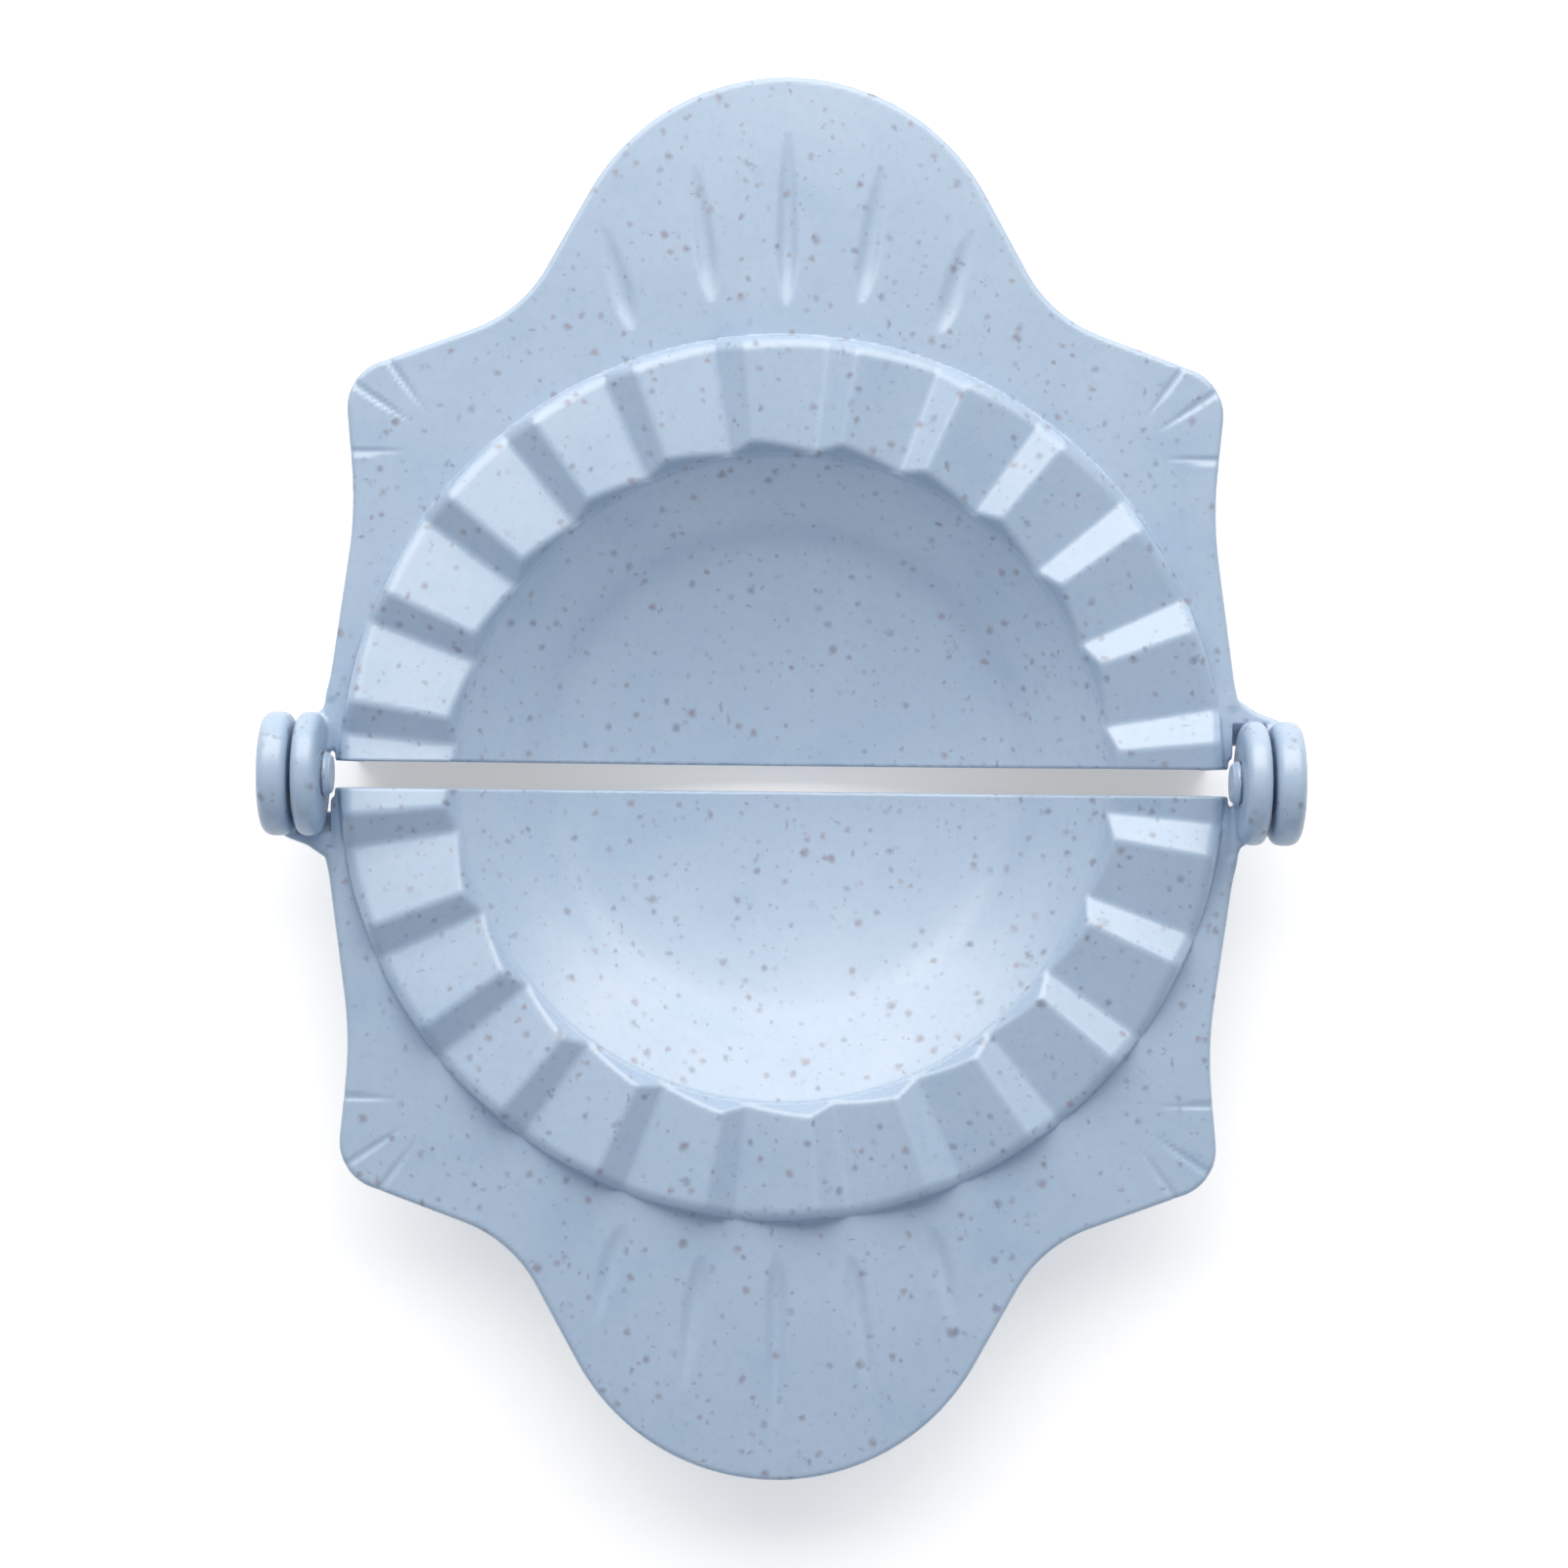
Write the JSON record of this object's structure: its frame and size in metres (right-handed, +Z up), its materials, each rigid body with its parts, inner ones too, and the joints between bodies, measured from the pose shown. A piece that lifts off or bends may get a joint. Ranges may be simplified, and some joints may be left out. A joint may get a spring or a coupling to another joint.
{
  "type": "empanada press",
  "caption": "Hand press for empanadas and dumplings: two hinged half bowls with a pleated crimping ring, broad flange, rounded handles and a dough-cutting foot ring.",
  "frame": {"origin": "on the table, under the middle of the hinge, with the press open flat", "axes": "+X along the hinge axis, +Y towards the rear handle, +Z up"},
  "size_m": [0.105, 0.1438, 0.0218],
  "materials": {
    "moulded_halves": "pale blue fibre-filled plastic with small brown and grey specks, satin",
    "hinge_pins": "the same pale blue plastic, smooth"
  },
  "bodies": {
    "front": {"front_half": "moulded_halves", "left_hinge_pin": "hinge_pins"},
    "rear": {"rear_half": "moulded_halves", "right_hinge_pin": "hinge_pins"}
  },
  "joints": [
    {"name": "hinge", "type": "hinge", "parent": "front", "child": "rear", "pos_m": [0, 0, 0.0155], "axis": [1, 0, 0], "range_deg": [0, 180]}
  ]
}
